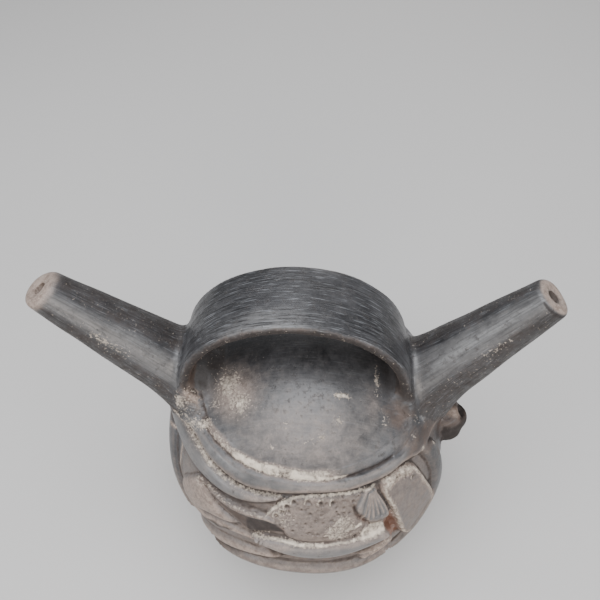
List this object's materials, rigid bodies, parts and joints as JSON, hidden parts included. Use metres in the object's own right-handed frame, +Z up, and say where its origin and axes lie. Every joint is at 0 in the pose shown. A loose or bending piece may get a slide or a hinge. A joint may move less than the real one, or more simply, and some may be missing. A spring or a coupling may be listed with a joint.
{
  "type": "double-spout bottle",
  "caption": "Round-bodied pottery bottle with carved relief, two flared-out tapered spouts joined by a strap, and a small side lug.",
  "frame": {"origin": "centre of the flat foot, on the surface the bottle stands on", "axes": "+X from the left spout towards the right spout as the picture shows them, -Y towards the carved front, +Z up along the body's axis"},
  "size_m": [0.1977, 0.1314, 0.1681],
  "materials": {
    "burnished_black_pottery": "stone-burnished reduced black clay, satin, with cream earth crust in the carving"
  },
  "bodies": {
    "root": {"bottle": "burnished_black_pottery"}
  },
  "joints": []
}
